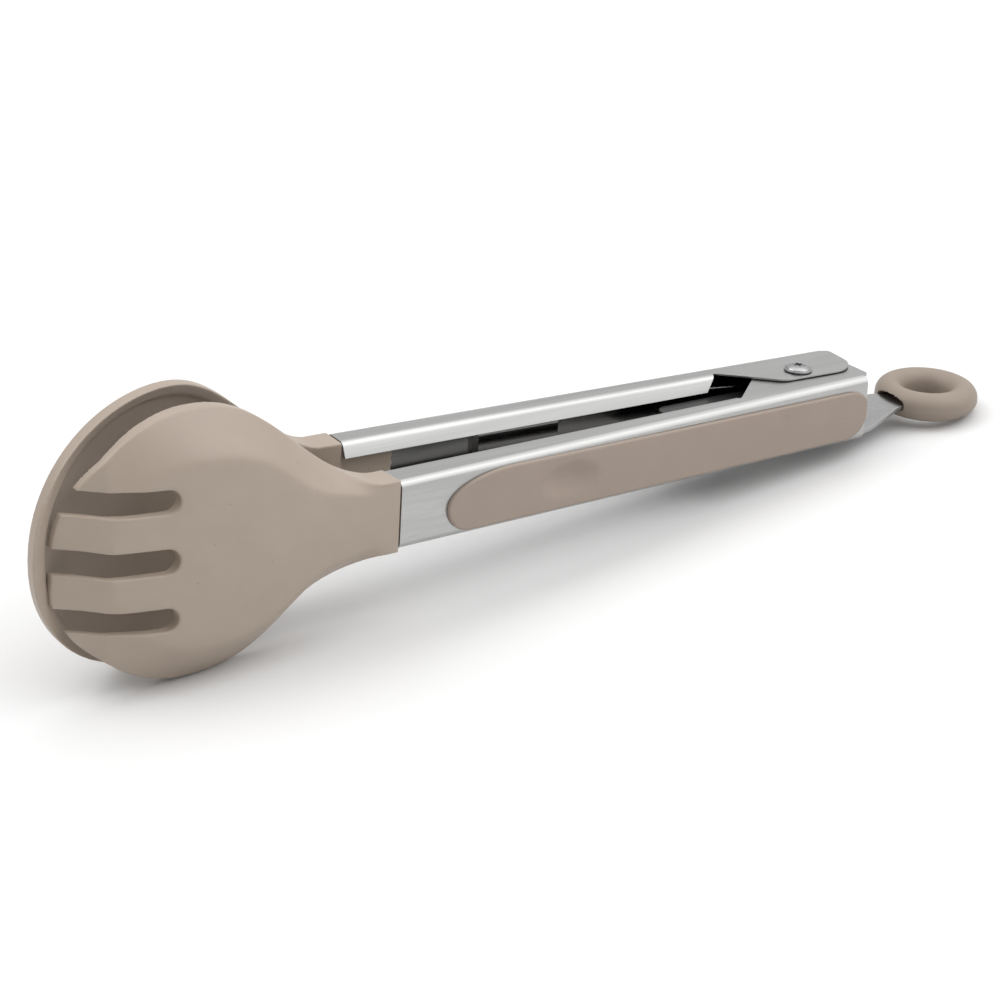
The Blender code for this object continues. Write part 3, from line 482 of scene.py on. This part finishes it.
# Inside the channels: smoother than the brushed face, so it mirrors the dark gap; its colour is
# painted shade, darker than the brushed outside
shaded_inner_steel = brushed_stainless("inner_stainless_painted_shade", 0, "#686866", "#605F5E",
                               0.16, 0.22, 0.6 * MM, 0.001 * MM)
# Cold-formed rivet head, tumbled bright
rivet_steel = brushed_stainless("tumbled_rivet_steel", 0.6, "#ACACAC", "#9E9E9E",
                                0.22, 0.32, 0.9 * MM, 0.002 * MM)
# Drawn spring wire, darker than the sheet
wire_steel = brushed_stainless("drawn_spring_wire", 0, "#9C9DA0", "#828386",
                               0.22, 0.32, 0.5 * MM, 0.002 * MM)


def smoothstep(low, high, value):
    """Zero below low, one above high, smooth between."""
    t = min(max((value - low) / (high - low), 0), 1)
    return t * t * (3 - 2 * t)


def half_width(reach, neck, form):
    """Half width of a head at a reach, up to the middle of its round: the neck flares into it."""
    t = min(max((reach - FLARE_START) / (FLARE_END - FLARE_START), 0), 1)
    collar = form.collar * (1 - smoothstep(COLLAR_END, COLLAR_END + COLLAR_FADE, reach))
    return neck + collar + (form.radius - neck) * (1 - (1 - t * t) ** form.flare_power)


def nose_x(z, form):
    """Where the end of a head lies: the fork's lower tines reach a little further."""
    across = min(abs(z) / form.radius, 1)
    nose = form.nose * (1 - across ** form.fullness) ** (1 / form.fullness)
    low_tines = smoothstep(3 * MM, 12 * MM, z) * (1 - smoothstep(20 * MM, 27 * MM, z))
    return -HEAD_CENTRE - nose - form.low_tip * low_tines


def slot_points(middle, width, form):
    """One slot in a head's plan: in from the nose, round its closed end, and out again."""
    half = width / 2
    upper, lower = [(nose_x(z, form), z) for z in (middle + half, middle - half)]
    angles = (math.pi / 2 - math.pi * k / 24 for k in range(25))
    arc = [(half * math.cos(a) - SLOT_END - half, middle + half * math.sin(a)) for a in angles]
    return [upper] + arc + [lower]


def head_outline(neck, form):
    """Plan of a head: neck, flare, round, and the slots between the tines."""
    start = ARM_REACH + SEAT_GAP
    side = []
    for i in range(120):
        reach = start + (HEAD_CENTRE - start) * i / 120
        side.append((-reach, half_width(reach, neck, form)))
    pitch = (MIDDLE_SLOT + SIDE_SLOT) / 2 + TINE_WIDTH
    slots = [(pitch, SIDE_SLOT), (0, MIDDLE_SLOT), (-pitch, SIDE_SLOT)] if form.slotted else []
    waiting = list(slots)
    nose = []
    for i in range(121):
        z = form.radius * math.sin(math.pi / 2 + math.pi * i / 120)
        if waiting and z < waiting[0][0]:
            nose += slot_points(*waiting.pop(0), form)
        if not any(abs(z - middle) < width / 2 + 0.2 * MM for middle, width in slots):
            nose.append((nose_x(z, form), z))
    return side + nose + [(x, -z) for x, z in reversed(side)]


def out_from_middle(reach, z, neck, form):
    """Where a point lies between a head's middle line, 0, and its edge, 1."""
    if reach > HEAD_CENTRE:
        share = (((reach - HEAD_CENTRE) / form.nose) ** form.fullness
                 + (abs(z) / form.radius) ** form.fullness) ** (1 / form.fullness)
    else:
        share = abs(z) / half_width(reach, neck, form)
    return min(share, 1.15)


def bent(value, at, softness):
    """A line that turns up from zero past a place, with a soft bend."""
    return softness * math.log(1 + math.exp(min((value - at) / softness, 60)))


def dish(reach, share, form):
    """How far a head has fallen from middle to rim: the fork's face creases on the way."""
    if not form.slotted:
        return share ** BOWL_POWER
    pinch = math.exp(-((reach - CREASE_PINCH_AT) / CREASE_PINCH_LENGTH) ** 2)
    crease = CREASE - CREASE_PINCH * pinch
    past = bent(share, crease, CREASE_SOFTNESS) / bent(1, crease, CREASE_SOFTNESS)
    return CROWN_SHARE * share ** 2 + (1 - CROWN_SHARE) * past


def outer_depth(reach, z, neck, form):
    """Depth of a head's outer face below the plane of the web."""
    fall = max(reach - form.flat_end, 0) / (HEAD_CENTRE + form.nose - form.flat_end)
    middle = form.tip_depth * fall ** form.fall_power
    rim = form.rim_depth + form.rim_rise * (reach - HEAD_CENTRE) / form.nose
    if form.slotted:
        rim -= SHOULDER_LIFT * (1 - smoothstep(SHOULDER_END, HEAD_CENTRE, reach))
    rim *= smoothstep(SHOULDER_START, SHOULDER_END, reach)
    depth = middle + (rim - middle) * dish(reach, out_from_middle(reach, z, neck, form), form)
    return depth + form.bend_slope * bent(reach, TINE_KINK, KINK_SOFTNESS)


def wall_thickness(reach, z, neck, form):
    """Thick at the neck, thin in the round, with a bead along the spoon's rim."""
    thin = smoothstep(SHOULDER_START, THINNED, reach)
    wall = NECK_THICKNESS + (form.wall - NECK_THICKNESS) * thin
    wall -= form.thinning * smoothstep(HEAD_CENTRE, HEAD_CENTRE + form.nose, reach)
    width = half_width(min(reach, HEAD_CENTRE), neck, form)
    inset = (1 - out_from_middle(reach, z, neck, form)) * width
    fade = SPOON_RIM_FADE / 2
    on_band = 1 - smoothstep(SPOON_RIM_BAND - fade, SPOON_RIM_BAND + fade, inset)
    return wall + form.band_step * on_band * thin


def inner_depth(reach, z, neck, form):
    """Depth of a head's inner face: the wall's thickness, more where the wall leans."""
    nudge = 0.3 * MM
    depth = outer_depth(reach, z, neck, form)
    slope_x = (outer_depth(reach + nudge, z, neck, form) - depth) / nudge
    slope_z = (outer_depth(reach, z + nudge, neck, form) - depth) / nudge
    lean = min(math.sqrt(1 + slope_x ** 2 + slope_z ** 2), 1.12)
    return depth + wall_thickness(reach, z, neck, form) * lean


def head_tongue(half_height):
    """The tongue that fills the channel behind a neck, its end ragged."""
    half = half_height - SHEET - SEAT_GAP
    steps = 2 * TONGUE_NOTCHES
    end = TONGUE_LENGTH - ARM_REACH
    root = -(ARM_REACH + TONGUE_INTO_NECK)
    ragged = [(end + TONGUE_NOTCH / 2 * (-1) ** i, -half + 2 * half * i / steps)
              for i in range(steps + 1)]
    low = WEB_OFFSET - FLANGE_WIDTH - 0.8 * REAR_TAPER + SHEET + SEAT_GAP
    return prism("tongue", [(root, -half)] + ragged + [(root, half)],
                 low, WEB_OFFSET - SHEET - SEAT_GAP)


def moulded_head(name, half_height, form, side, body, node):
    """A grid drawn to the outer face, pulled through to the inner one, trimmed and softened."""
    neck = half_height + form.proud
    start = ARM_REACH - HEAD_LEAD
    length = HEAD_CENTRE + form.nose + HEAD_MARGIN - start
    width = 2 * (form.radius + HEAD_MARGIN)
    bpy.ops.object.select_all(action="DESELECT")
    bpy.ops.mesh.primitive_grid_add(x_subdivisions=round(length / HEAD_CELL),
                                    y_subdivisions=round(width / HEAD_CELL), size=1)
    head = take(name)
    for vert in head.data.vertices:
        reach = start + length * (0.5 - vert.co.x)
        z = width * vert.co.y
        vert.co = (-reach, WEB_OFFSET - outer_depth(reach, z, neck, form), z)
    edit(head,
         lambda: bpy.ops.mesh.select_all(action="SELECT"),
         lambda: bpy.ops.mesh.extrude_region_move(TRANSFORM_OT_translate={"value": (0, -MM, 0)}))
    for vert in head.data.vertices:
        if vert.select:
            vert.co.y = WEB_OFFSET - inner_depth(-vert.co.x, vert.co.z, neck, form)
    weld_and_face_out(head)
    plan = prism("plan", head_outline(neck, form), -form.radius, WEB_OFFSET + 2 * MM)
    cut_or_join(head, plan, "INTERSECT")
    cut_or_join(head, head_tongue(half_height), "UNION")
    melt(head, HEAD_VOXEL, 20)
    finish_with(head, "DECIMATE", ratio=HEAD_KEPT)
    place_half(head, side)
    smooth_faces(head, 60)
    dress(head, taupe_nylon, body, node)


def pad_side(x, side):
    """Edge of a pad: the slanted side draws out towards the head and falls towards the ring."""
    length = GRIP_SLANT if side < 0 else GRIP_ROUND
    t = min(max((length - GRIP_FRONT - x) / length, 0), 1)
    fall = GRIP_FALL * (x + GRIP_FRONT) / (GRIP_FRONT + GRIP_BACK) if side < 0 else 0
    return GRIP_LEVEL + side * (GRIP_HALF_HEIGHT - fall - side * GRIP_LEVEL) * math.sqrt(1 - t * t)


def pad_corner(side, long, tall):
    """One back corner of a pad: a quarter of an ellipse."""
    corner = GRIP_BACK - long
    edge = pad_side(corner, side)
    order = range(10) if side < 0 else range(9, -1, -1)
    angles = [math.pi / 2 * k / 9 for k in order]
    return [(corner + long * math.sin(a), edge - side * tall * (1 - math.cos(a))) for a in angles]


def pad_ring(inset, height):
    """One ring of a pad, drawn in from its edge towards the pad's middle line."""
    front = GRIP_HALF_HEIGHT - GRIP_FRONT
    back = GRIP_BACK - GRIP_HALF_HEIGHT
    run = 130
    places = [front + (back - front) * i / run for i in range(run + 1)]
    ends = [front - (front + GRIP_FRONT) * math.sin(math.pi / 2 * k / 20) for k in range(1, 21)]
    points = [(x, pad_side(x, -1)) for x in places]
    for corner in GRIP_CORNERS:
        points += pad_corner(*corner)
    points += [(x, pad_side(x, 1)) for x in list(reversed(places)) + ends]
    points += [(x, pad_side(x, -1)) for x in reversed(ends[:-1])]
    share = inset / GRIP_HALF_HEIGHT
    drawn = [(x + (min(max(x, front), back) - x) * share, z * (1 - share)) for x, z in points]
    return [(x, height(x, z), z) for x, z in drawn]


def thumb_dimple(x, z):
    """Depth of the dimple that the thumb finds."""
    out = math.hypot((x + DIMPLE_CENTRE) / DIMPLE_HALF_LENGTH, z / DIMPLE_HALF_WIDTH)
    return DIMPLE_DEPTH * max(1 - out ** 2, 0) ** 1.5


def lug(x, z):
    """Depth of the lug under the dimple, inside the pocket pressed in the web."""
    out = math.hypot((x + LUG_CENTRE) / LUG_HALF_LENGTH, z / LUG_HALF_WIDTH)
    return LUG_DEPTH * max(1 - out ** 2, 0)


def soft_pad(name, side, body, node):
    """A soft pad with a rounded edge, a thumb dimple, and a lug in the web's pocket."""
    outer = WEB_OFFSET + GRIP_PROUD
    seat = WEB_OFFSET + GRIP_SEAT
    insets = [(0.9 + 0.7 * k) * MM for k in range(9)] + [7.0 * MM, GRIP_HALF_HEIGHT]
    up = []
    for k in range(1, 7):
        angle = math.pi / 2 * k / 6
        edge = outer - GRIP_EDGE * (1 - math.sin(angle))
        up.append(pad_ring(GRIP_EDGE * (1 - math.cos(angle)),
                           lambda x, z, y=edge: y - thumb_dimple(x, z)))
    for inset in insets:
        up.append(pad_ring(inset, lambda x, z: outer - thumb_dimple(x, z)))
    down = [pad_ring(0, lambda x, z: seat)]
    for inset in insets:
        down.append(pad_ring(inset, lambda x, z: seat - lug(x, z)))
    pad = ringed(name, pad_ring(0, lambda x, z: outer - GRIP_EDGE), up, down)
    place_half(pad, side)
    smooth_faces(pad, 50)
    dress(pad, grip_rubber, body, node)


def fuller_bend(y, z, half_height, lip):
    """Where a point of a section goes when the bend by the web or the lip is pressed rounder."""
    if lip:
        old, new, turn = CAD_LIP_BEND, LIP_BEND, LIP_TURN
        start = WEB_OFFSET - FLANGE_WIDTH + old
        away = start - y
    else:
        old, new, turn = CAD_WEB_BEND, WEB_BEND, math.pi / 2
        start = WEB_OFFSET - new
        away = y - (WEB_OFFSET - old)
    height = half_height - abs(z)
    past = max(height - old, 0)
    angle = math.atan2(away, old - height) if height < old else math.pi / 2
    radius = (math.hypot(away, old - height) if height < old else away) + new - old
    angle *= turn / (math.pi / 2)
    out = radius * math.sin(angle)
    down = new - radius * math.cos(angle)
    if lip:
        out += past * LIP_STRETCH * math.cos(turn)
        down += past * LIP_STRETCH * math.sin(turn)
        return start - out, math.copysign(half_height - down, z)
    return start + out, math.copysign(half_height - down, z)


def press_rounder(arm, half_height, ear_start, taper):
    """Both bends made rounder, the lip left leaning in, the channel deeper towards the head, and
    the pocket's walls sloped more."""
    web_bend = WEB_OFFSET - CAD_WEB_BEND
    lip_bend = WEB_OFFSET - FLANGE_WIDTH + CAD_LIP_BEND
    for vert in arm.data.vertices:
        x, y, z = vert.co
        in_pocket = POCKET_FLOOR - 0.1 * MM < y < POCKET_FLOOR + POCKET_DEPTH_IN_CAD
        if in_pocket and abs(z) < POCKET_HALF:
            vert.co.z = z * POCKET_PINCH
        elif y > web_bend - HAIR and abs(z) > half_height - CAD_WEB_BEND - HAIR:
            vert.co.y, vert.co.z = fuller_bend(y, z, half_height, False)
        elif FLANGE_HOLD < y < web_bend and abs(z) > half_height - SHEET - 0.1 * MM:
            vert.co.y = FLANGE_HOLD + (y - FLANGE_HOLD) * FLANGE_SQUEEZE
        elif y < lip_bend + HAIR and x < -ear_start - 0.75 * MM:
            vert.co.y, vert.co.z = fuller_bend(y, z, half_height, True)
            vert.co.y -= taper * (-x - ear_start) / (ARM_REACH - ear_start)
    arm.data.update()


def tuck_in(arm, half_height):
    """The corners that the broken edges leave outside the web's bend go back onto it."""
    low_y = WEB_OFFSET - WEB_BEND
    low_z = half_height - WEB_BEND
    for vert in arm.data.vertices:
        out = Vector((vert.co.y - low_y, abs(vert.co.z) - low_z))
        if min(out) > 0 and out.length > WEB_BEND:
            out *= WEB_BEND / out.length
            vert.co.y = low_y + out.x
            vert.co.z = math.copysign(low_z + out.y, vert.co.z)


def in_painted_shade(face, half_height):
    """Whether a face of the section looks inwards and so gets the painted shade; the pocket's walls
    are left out and keep the bright outer steel as a painted highlight.
    """
    x, y, z = face.center
    across = face.normal.z * math.copysign(1, z)
    # The pocket's walls keep the bright outer steel, not the inner shade: a painted highlight on
    # the lit slope
    pocket_wall = abs(z) < POCKET_REACH and abs(across) > 0.35
    in_web = y > 8.5 * MM and face.normal.y < -0.3 and not pocket_wall
    in_flange = abs(z) > half_height - 1.5 * MM and across < -0.3
    in_lip = y < 7 * MM and face.normal.y > 0.3
    return in_web or in_flange or in_lip


def pressed_arm(name, node, finish, side, half_height, ear_start, taper, body):
    """The pressed channel: brushed outside, painted shade on the inward faces, the sheet's cut
    edges broken.
    """
    arm = finished_copy(node, name)
    arm.data.transform(half_frame(side).inverted())
    press_rounder(arm, half_height, ear_start, taper)
    break_edges(arm, CUT_EDGE)
    tuck_in(arm, half_height)
    inside = [in_painted_shade(face, half_height) for face in arm.data.polygons]
    place_half(arm, side)
    shade_sheet(arm)
    dress(arm, finish, body, node)
    # Inward faces get the darker steel: painted shade in the channel
    arm.data.materials.append(shaded_inner_steel)
    for face, inner in zip(arm.data.polygons, inside):
        face.material_index = int(inner)


def circle(radius, z):
    """One ring about the rivet's axis."""
    angles = (2 * math.pi * i / 64 for i in range(64))
    return [(PIVOT_X + radius * math.cos(a), radius * math.sin(a), z) for a in angles]


def head_rings(sign):
    """Rings of a rivet head from its seat to its crown, with a thin flat rim round the dome."""
    profile = [(RIVET_HEAD_RADIUS, RIVET_RIM * 0.65),
               (RIVET_HEAD_RADIUS - 0.05 * MM, RIVET_RIM * 0.9),
               (RIVET_HEAD_RADIUS - 0.14 * MM, RIVET_RIM)]
    crown = RIVET_HEAD_RADIUS - 0.42 * MM
    rise = RIVET_HEAD_HEIGHT - RIVET_RIM
    for k in range(13):
        angle = math.pi / 2 * k / 12
        profile.append((crown * math.cos(angle), RIVET_RIM + rise * math.sin(angle)))
    rings = [circle(RIVET_RADIUS, sign * RIVET_SEAT), circle(RIVET_HEAD_RADIUS, sign * RIVET_SEAT)]
    return rings + [circle(max(radius, 0), sign * (RIVET_SEAT + z)) for radius, z in profile]


def pivot_rivet():
    """Shank and two domed heads in rings, and a small star driven into the upper crown."""
    rivet = ringed("rivet", circle(RIVET_RADIUS, 0), head_rings(1), head_rings(-1))
    star = []
    for k in range(2 * STAR_POINTS):
        angle = math.pi * k / STAR_POINTS + STAR_TURN
        radius = STAR_INNER if k % 2 else STAR_OUTER
        star.append((PIVOT_X + radius * math.cos(angle), radius * math.sin(angle)))
    top = RIVET_SEAT + RIVET_HEAD_HEIGHT
    cut_or_join(rivet, prism("star", star, top - STAR_DEPTH, top + MM, along="Z"), "DIFFERENCE")
    smooth_faces(rivet, 35)
    dress(rivet, rivet_steel, "pivot", "pivot_rivet")


def sliding_tab():
    """The steel tab, its edges broken."""
    tab = finished_copy("pull_tab", "tab")
    break_edges(tab, TAB_EDGE)
    shade_sheet(tab)
    dress(tab, tab_steel, "tab", "pull_tab")


def wound_spring():
    """The spring's wire, made round."""
    spring = welded_copy("torsion_spring", "spring_wire")
    edit(spring,
         lambda: bpy.ops.mesh.select_all(action="SELECT"),
         lambda: bpy.ops.mesh.tris_convert_to_quads(face_threshold=math.radians(50),
                                                    shape_threshold=math.radians(60)))
    finish_with(spring, "SUBSURF", levels=1, render_levels=1)
    smooth_faces(spring, 60)
    dress(spring, wire_steel, "pivot", "torsion_spring")


def spring_cup():
    """The nylon housing with softened edges."""
    cup = finished_copy("spring_housing", "spring_cup")
    melt(cup, 0.3 * MM, 4)
    smooth_faces(cup, 60)
    dress(cup, black_nylon, "pivot", "spring_housing")


def tab_pocket():
    """Room for the end of the tab in the ring: tapered, and caught behind two shoulders."""
    entry = PIVOT_X + TAB_ENTRY
    shoulder = PIVOT_X + TAB_SHOULDER + TAB_ROOM
    end = PIVOT_X + TAB_END + TAB_ROOM
    end_half = TAB_END_HALF + TAB_ROOM
    side = [(entry, TAB_ENTRY_HALF + TAB_ROOM), (shoulder, end_half + TAB_BULGE),
            (end, end_half - TAB_CORNER)]
    plan = [(x, -y) for x, y in side] + side[::-1]
    half = TAB_THICKNESS / 2 + TAB_ROOM
    return prism("pocket", plan, RING_Z - half, RING_Z + half, along="Z")


def hang_ring():
    """The ring, with a faint parting line, a pocket for the tab and a scooped mouth above it."""
    bpy.ops.object.select_all(action="DESELECT")
    bpy.ops.mesh.primitive_torus_add(major_radius=RING_RADIUS, minor_radius=RING_TUBE_RADIUS,
                                     major_segments=160, minor_segments=64)
    ring = take("ring")
    for vert in ring.data.vertices:
        radius = math.hypot(vert.co.x, vert.co.y)
        ridge = RIDGE_HEIGHT * math.exp(-((vert.co.z - RIDGE_Z) / RIDGE_WIDTH) ** 2)
        if radius > RING_RADIUS:
            push = 1 + ridge / radius
            vert.co.x *= push
            vert.co.y *= push
    ring.data.transform(Matrix.Translation((PIVOT_X + RING_CENTRE, 0, RING_Z)))
    cut_or_join(ring, tab_pocket(), "DIFFERENCE")
    bpy.ops.object.select_all(action="DESELECT")
    bpy.ops.mesh.primitive_uv_sphere_add(segments=48, ring_count=24, radius=1)
    scoop = take("scoop")
    place = Matrix.Translation((PIVOT_X + MOUTH_CENTRE, 0, RING_Z + TAB_THICKNESS / 2))
    scoop.data.transform(place @ Matrix.Diagonal((*MOUTH_HALF, 1)))
    cut_or_join(ring, scoop, "DIFFERENCE")
    melt(ring, 0.24 * MM, 3)
    smooth_faces(ring, 60)
    dress(ring, ring_nylon, "tab", "pull_ring")


def photographers_camera():
    """The camera where the photographer's stood."""
    azimuth, elevation, roll = (math.radians(d) for d in CAMERA_ANGLES)
    level = math.cos(elevation)
    back = Vector((math.sin(azimuth) * level, -math.cos(azimuth) * level, math.sin(elevation)))
    level_right = (-back).cross(Vector((0, 0, 1))).normalized()
    level_up = level_right.cross(-back)
    right = level_right * math.cos(roll) + level_up * math.sin(roll)
    up = level_up * math.cos(roll) - level_right * math.sin(roll)
    eye = right * CAMERA_ASIDE + up * CAMERA_LIFT + back * CAMERA_BACK + Vector((PIVOT_X, 0, 0))
    camera = bpy.data.cameras.new("camera")
    camera.sensor_width = SENSOR_MM
    camera.lens = FOCAL_LENGTH * SENSOR_MM
    placed = bpy.data.objects.new("camera", camera)
    bpy.context.scene.collection.objects.link(placed)
    placed.matrix_world = Matrix((
        (right.x, up.x, back.x, eye.x), (right.y, up.y, back.y, eye.y),
        (right.z, up.z, back.z, eye.z), (0, 0, 0, 1)))
    bpy.context.scene.camera = placed


def table_top():
    """A plain white table: it touches the heads' round and the ring."""
    bpy.ops.object.select_all(action="DESELECT")
    bpy.ops.mesh.primitive_plane_add(size=14)
    table = take("table_top")
    drop = SPOON.radius * math.sqrt(1 + TABLE_SLOPE ** 2) + TABLE_GAP
    under_heads = Matrix.Translation((PIVOT_X - HEAD_CENTRE, 0, -drop))
    table.data.transform(under_heads @ Matrix.Rotation(-math.atan(TABLE_SLOPE), 4, "Y"))
    # White laminate, matt enough to hold no reflection of the tongs
    finish, tree, shader, place = new_material("white_laminate", Roughness=0.9,
                                               Specular_IOR_Level=0.1)
    faint = add(tree, "TexNoise", {"Vector": place, "Scale": 30.0})
    color = blend_colors(tree, faint.outputs["Fac"], srgb("#DCDCDC"), srgb("#DEDEDE"))
    tree.links.new(color, shader.inputs["Base Color"])
    table.data.materials.append(finish)


def studio_light():
    """A soft box overhead, a panel to the front right, a darker room, a key from behind left."""
    world = bpy.data.worlds.new("studio")
    bpy.context.scene.world = world
    world.use_nodes = True
    tree = world.node_tree
    place = add(tree, "TexCoord").outputs["Generated"]
    direction = add(tree, "SeparateXYZ", {0: place})
    height = direction.outputs["Z"]
    side = ramp(tree, direction.outputs["X"], (-1.0, 1.0), (0.6, 1.4))
    room = ramp(tree, height, (0.0, 0.6), (0.42, 0.78))
    box = ramp(tree, height, (0.62, 0.82), (0.0, 0.95), interpolation_type="SMOOTHSTEP")
    towards = add(tree, "VectorMath", {0: place, 1: PANEL_TOWARDS}, operation="DOT_PRODUCT")
    panel = ramp(tree, towards.outputs["Value"], (0.80, 0.95), (0.0, 1.0),
                 interpolation_type="SMOOTHSTEP")
    boxes = combine(tree, "ADD", box, panel)
    total = combine(tree, "ADD", combine(tree, "MULTIPLY", room, side), boxes)
    backdrop = tree.nodes["Background"]
    backdrop.inputs["Color"].default_value = (1, 1, 1, 1)
    tree.links.new(total, backdrop.inputs["Strength"])
    sun = bpy.data.lights.new("key", "SUN")
    sun.energy = 0.95
    sun.angle = math.radians(40)
    key = bpy.data.objects.new("key", sun)
    bpy.context.scene.collection.objects.link(key)
    key.rotation_euler = Vector(KEY_TRAVEL).to_track_quat("-Z", "Y").to_euler()
    bpy.context.scene.view_settings.view_transform = "Standard"


photographers_camera()
table_top()
studio_light()
moulded_head("fork_moulding", FRONT_HALF_HEIGHT, FORK, -1, "front_half", "fork_head")
moulded_head("spoon_moulding", REAR_HALF_HEIGHT, SPOON, 1, "rear_half", "spoon_head")
soft_pad("front_pad", -1, "front_half", "front_grip")
soft_pad("rear_pad", 1, "rear_half", "rear_grip")
pressed_arm("front_channel", "front_arm", front_steel, -1, FRONT_HALF_HEIGHT,
            FRONT_EAR_START, FRONT_TAPER, "front_half")
pressed_arm("rear_channel", "rear_arm", rear_steel, 1, REAR_HALF_HEIGHT,
            REAR_EAR_START, REAR_TAPER, "rear_half")
pivot_rivet()
sliding_tab()
wound_spring()
spring_cup()
hang_ring()
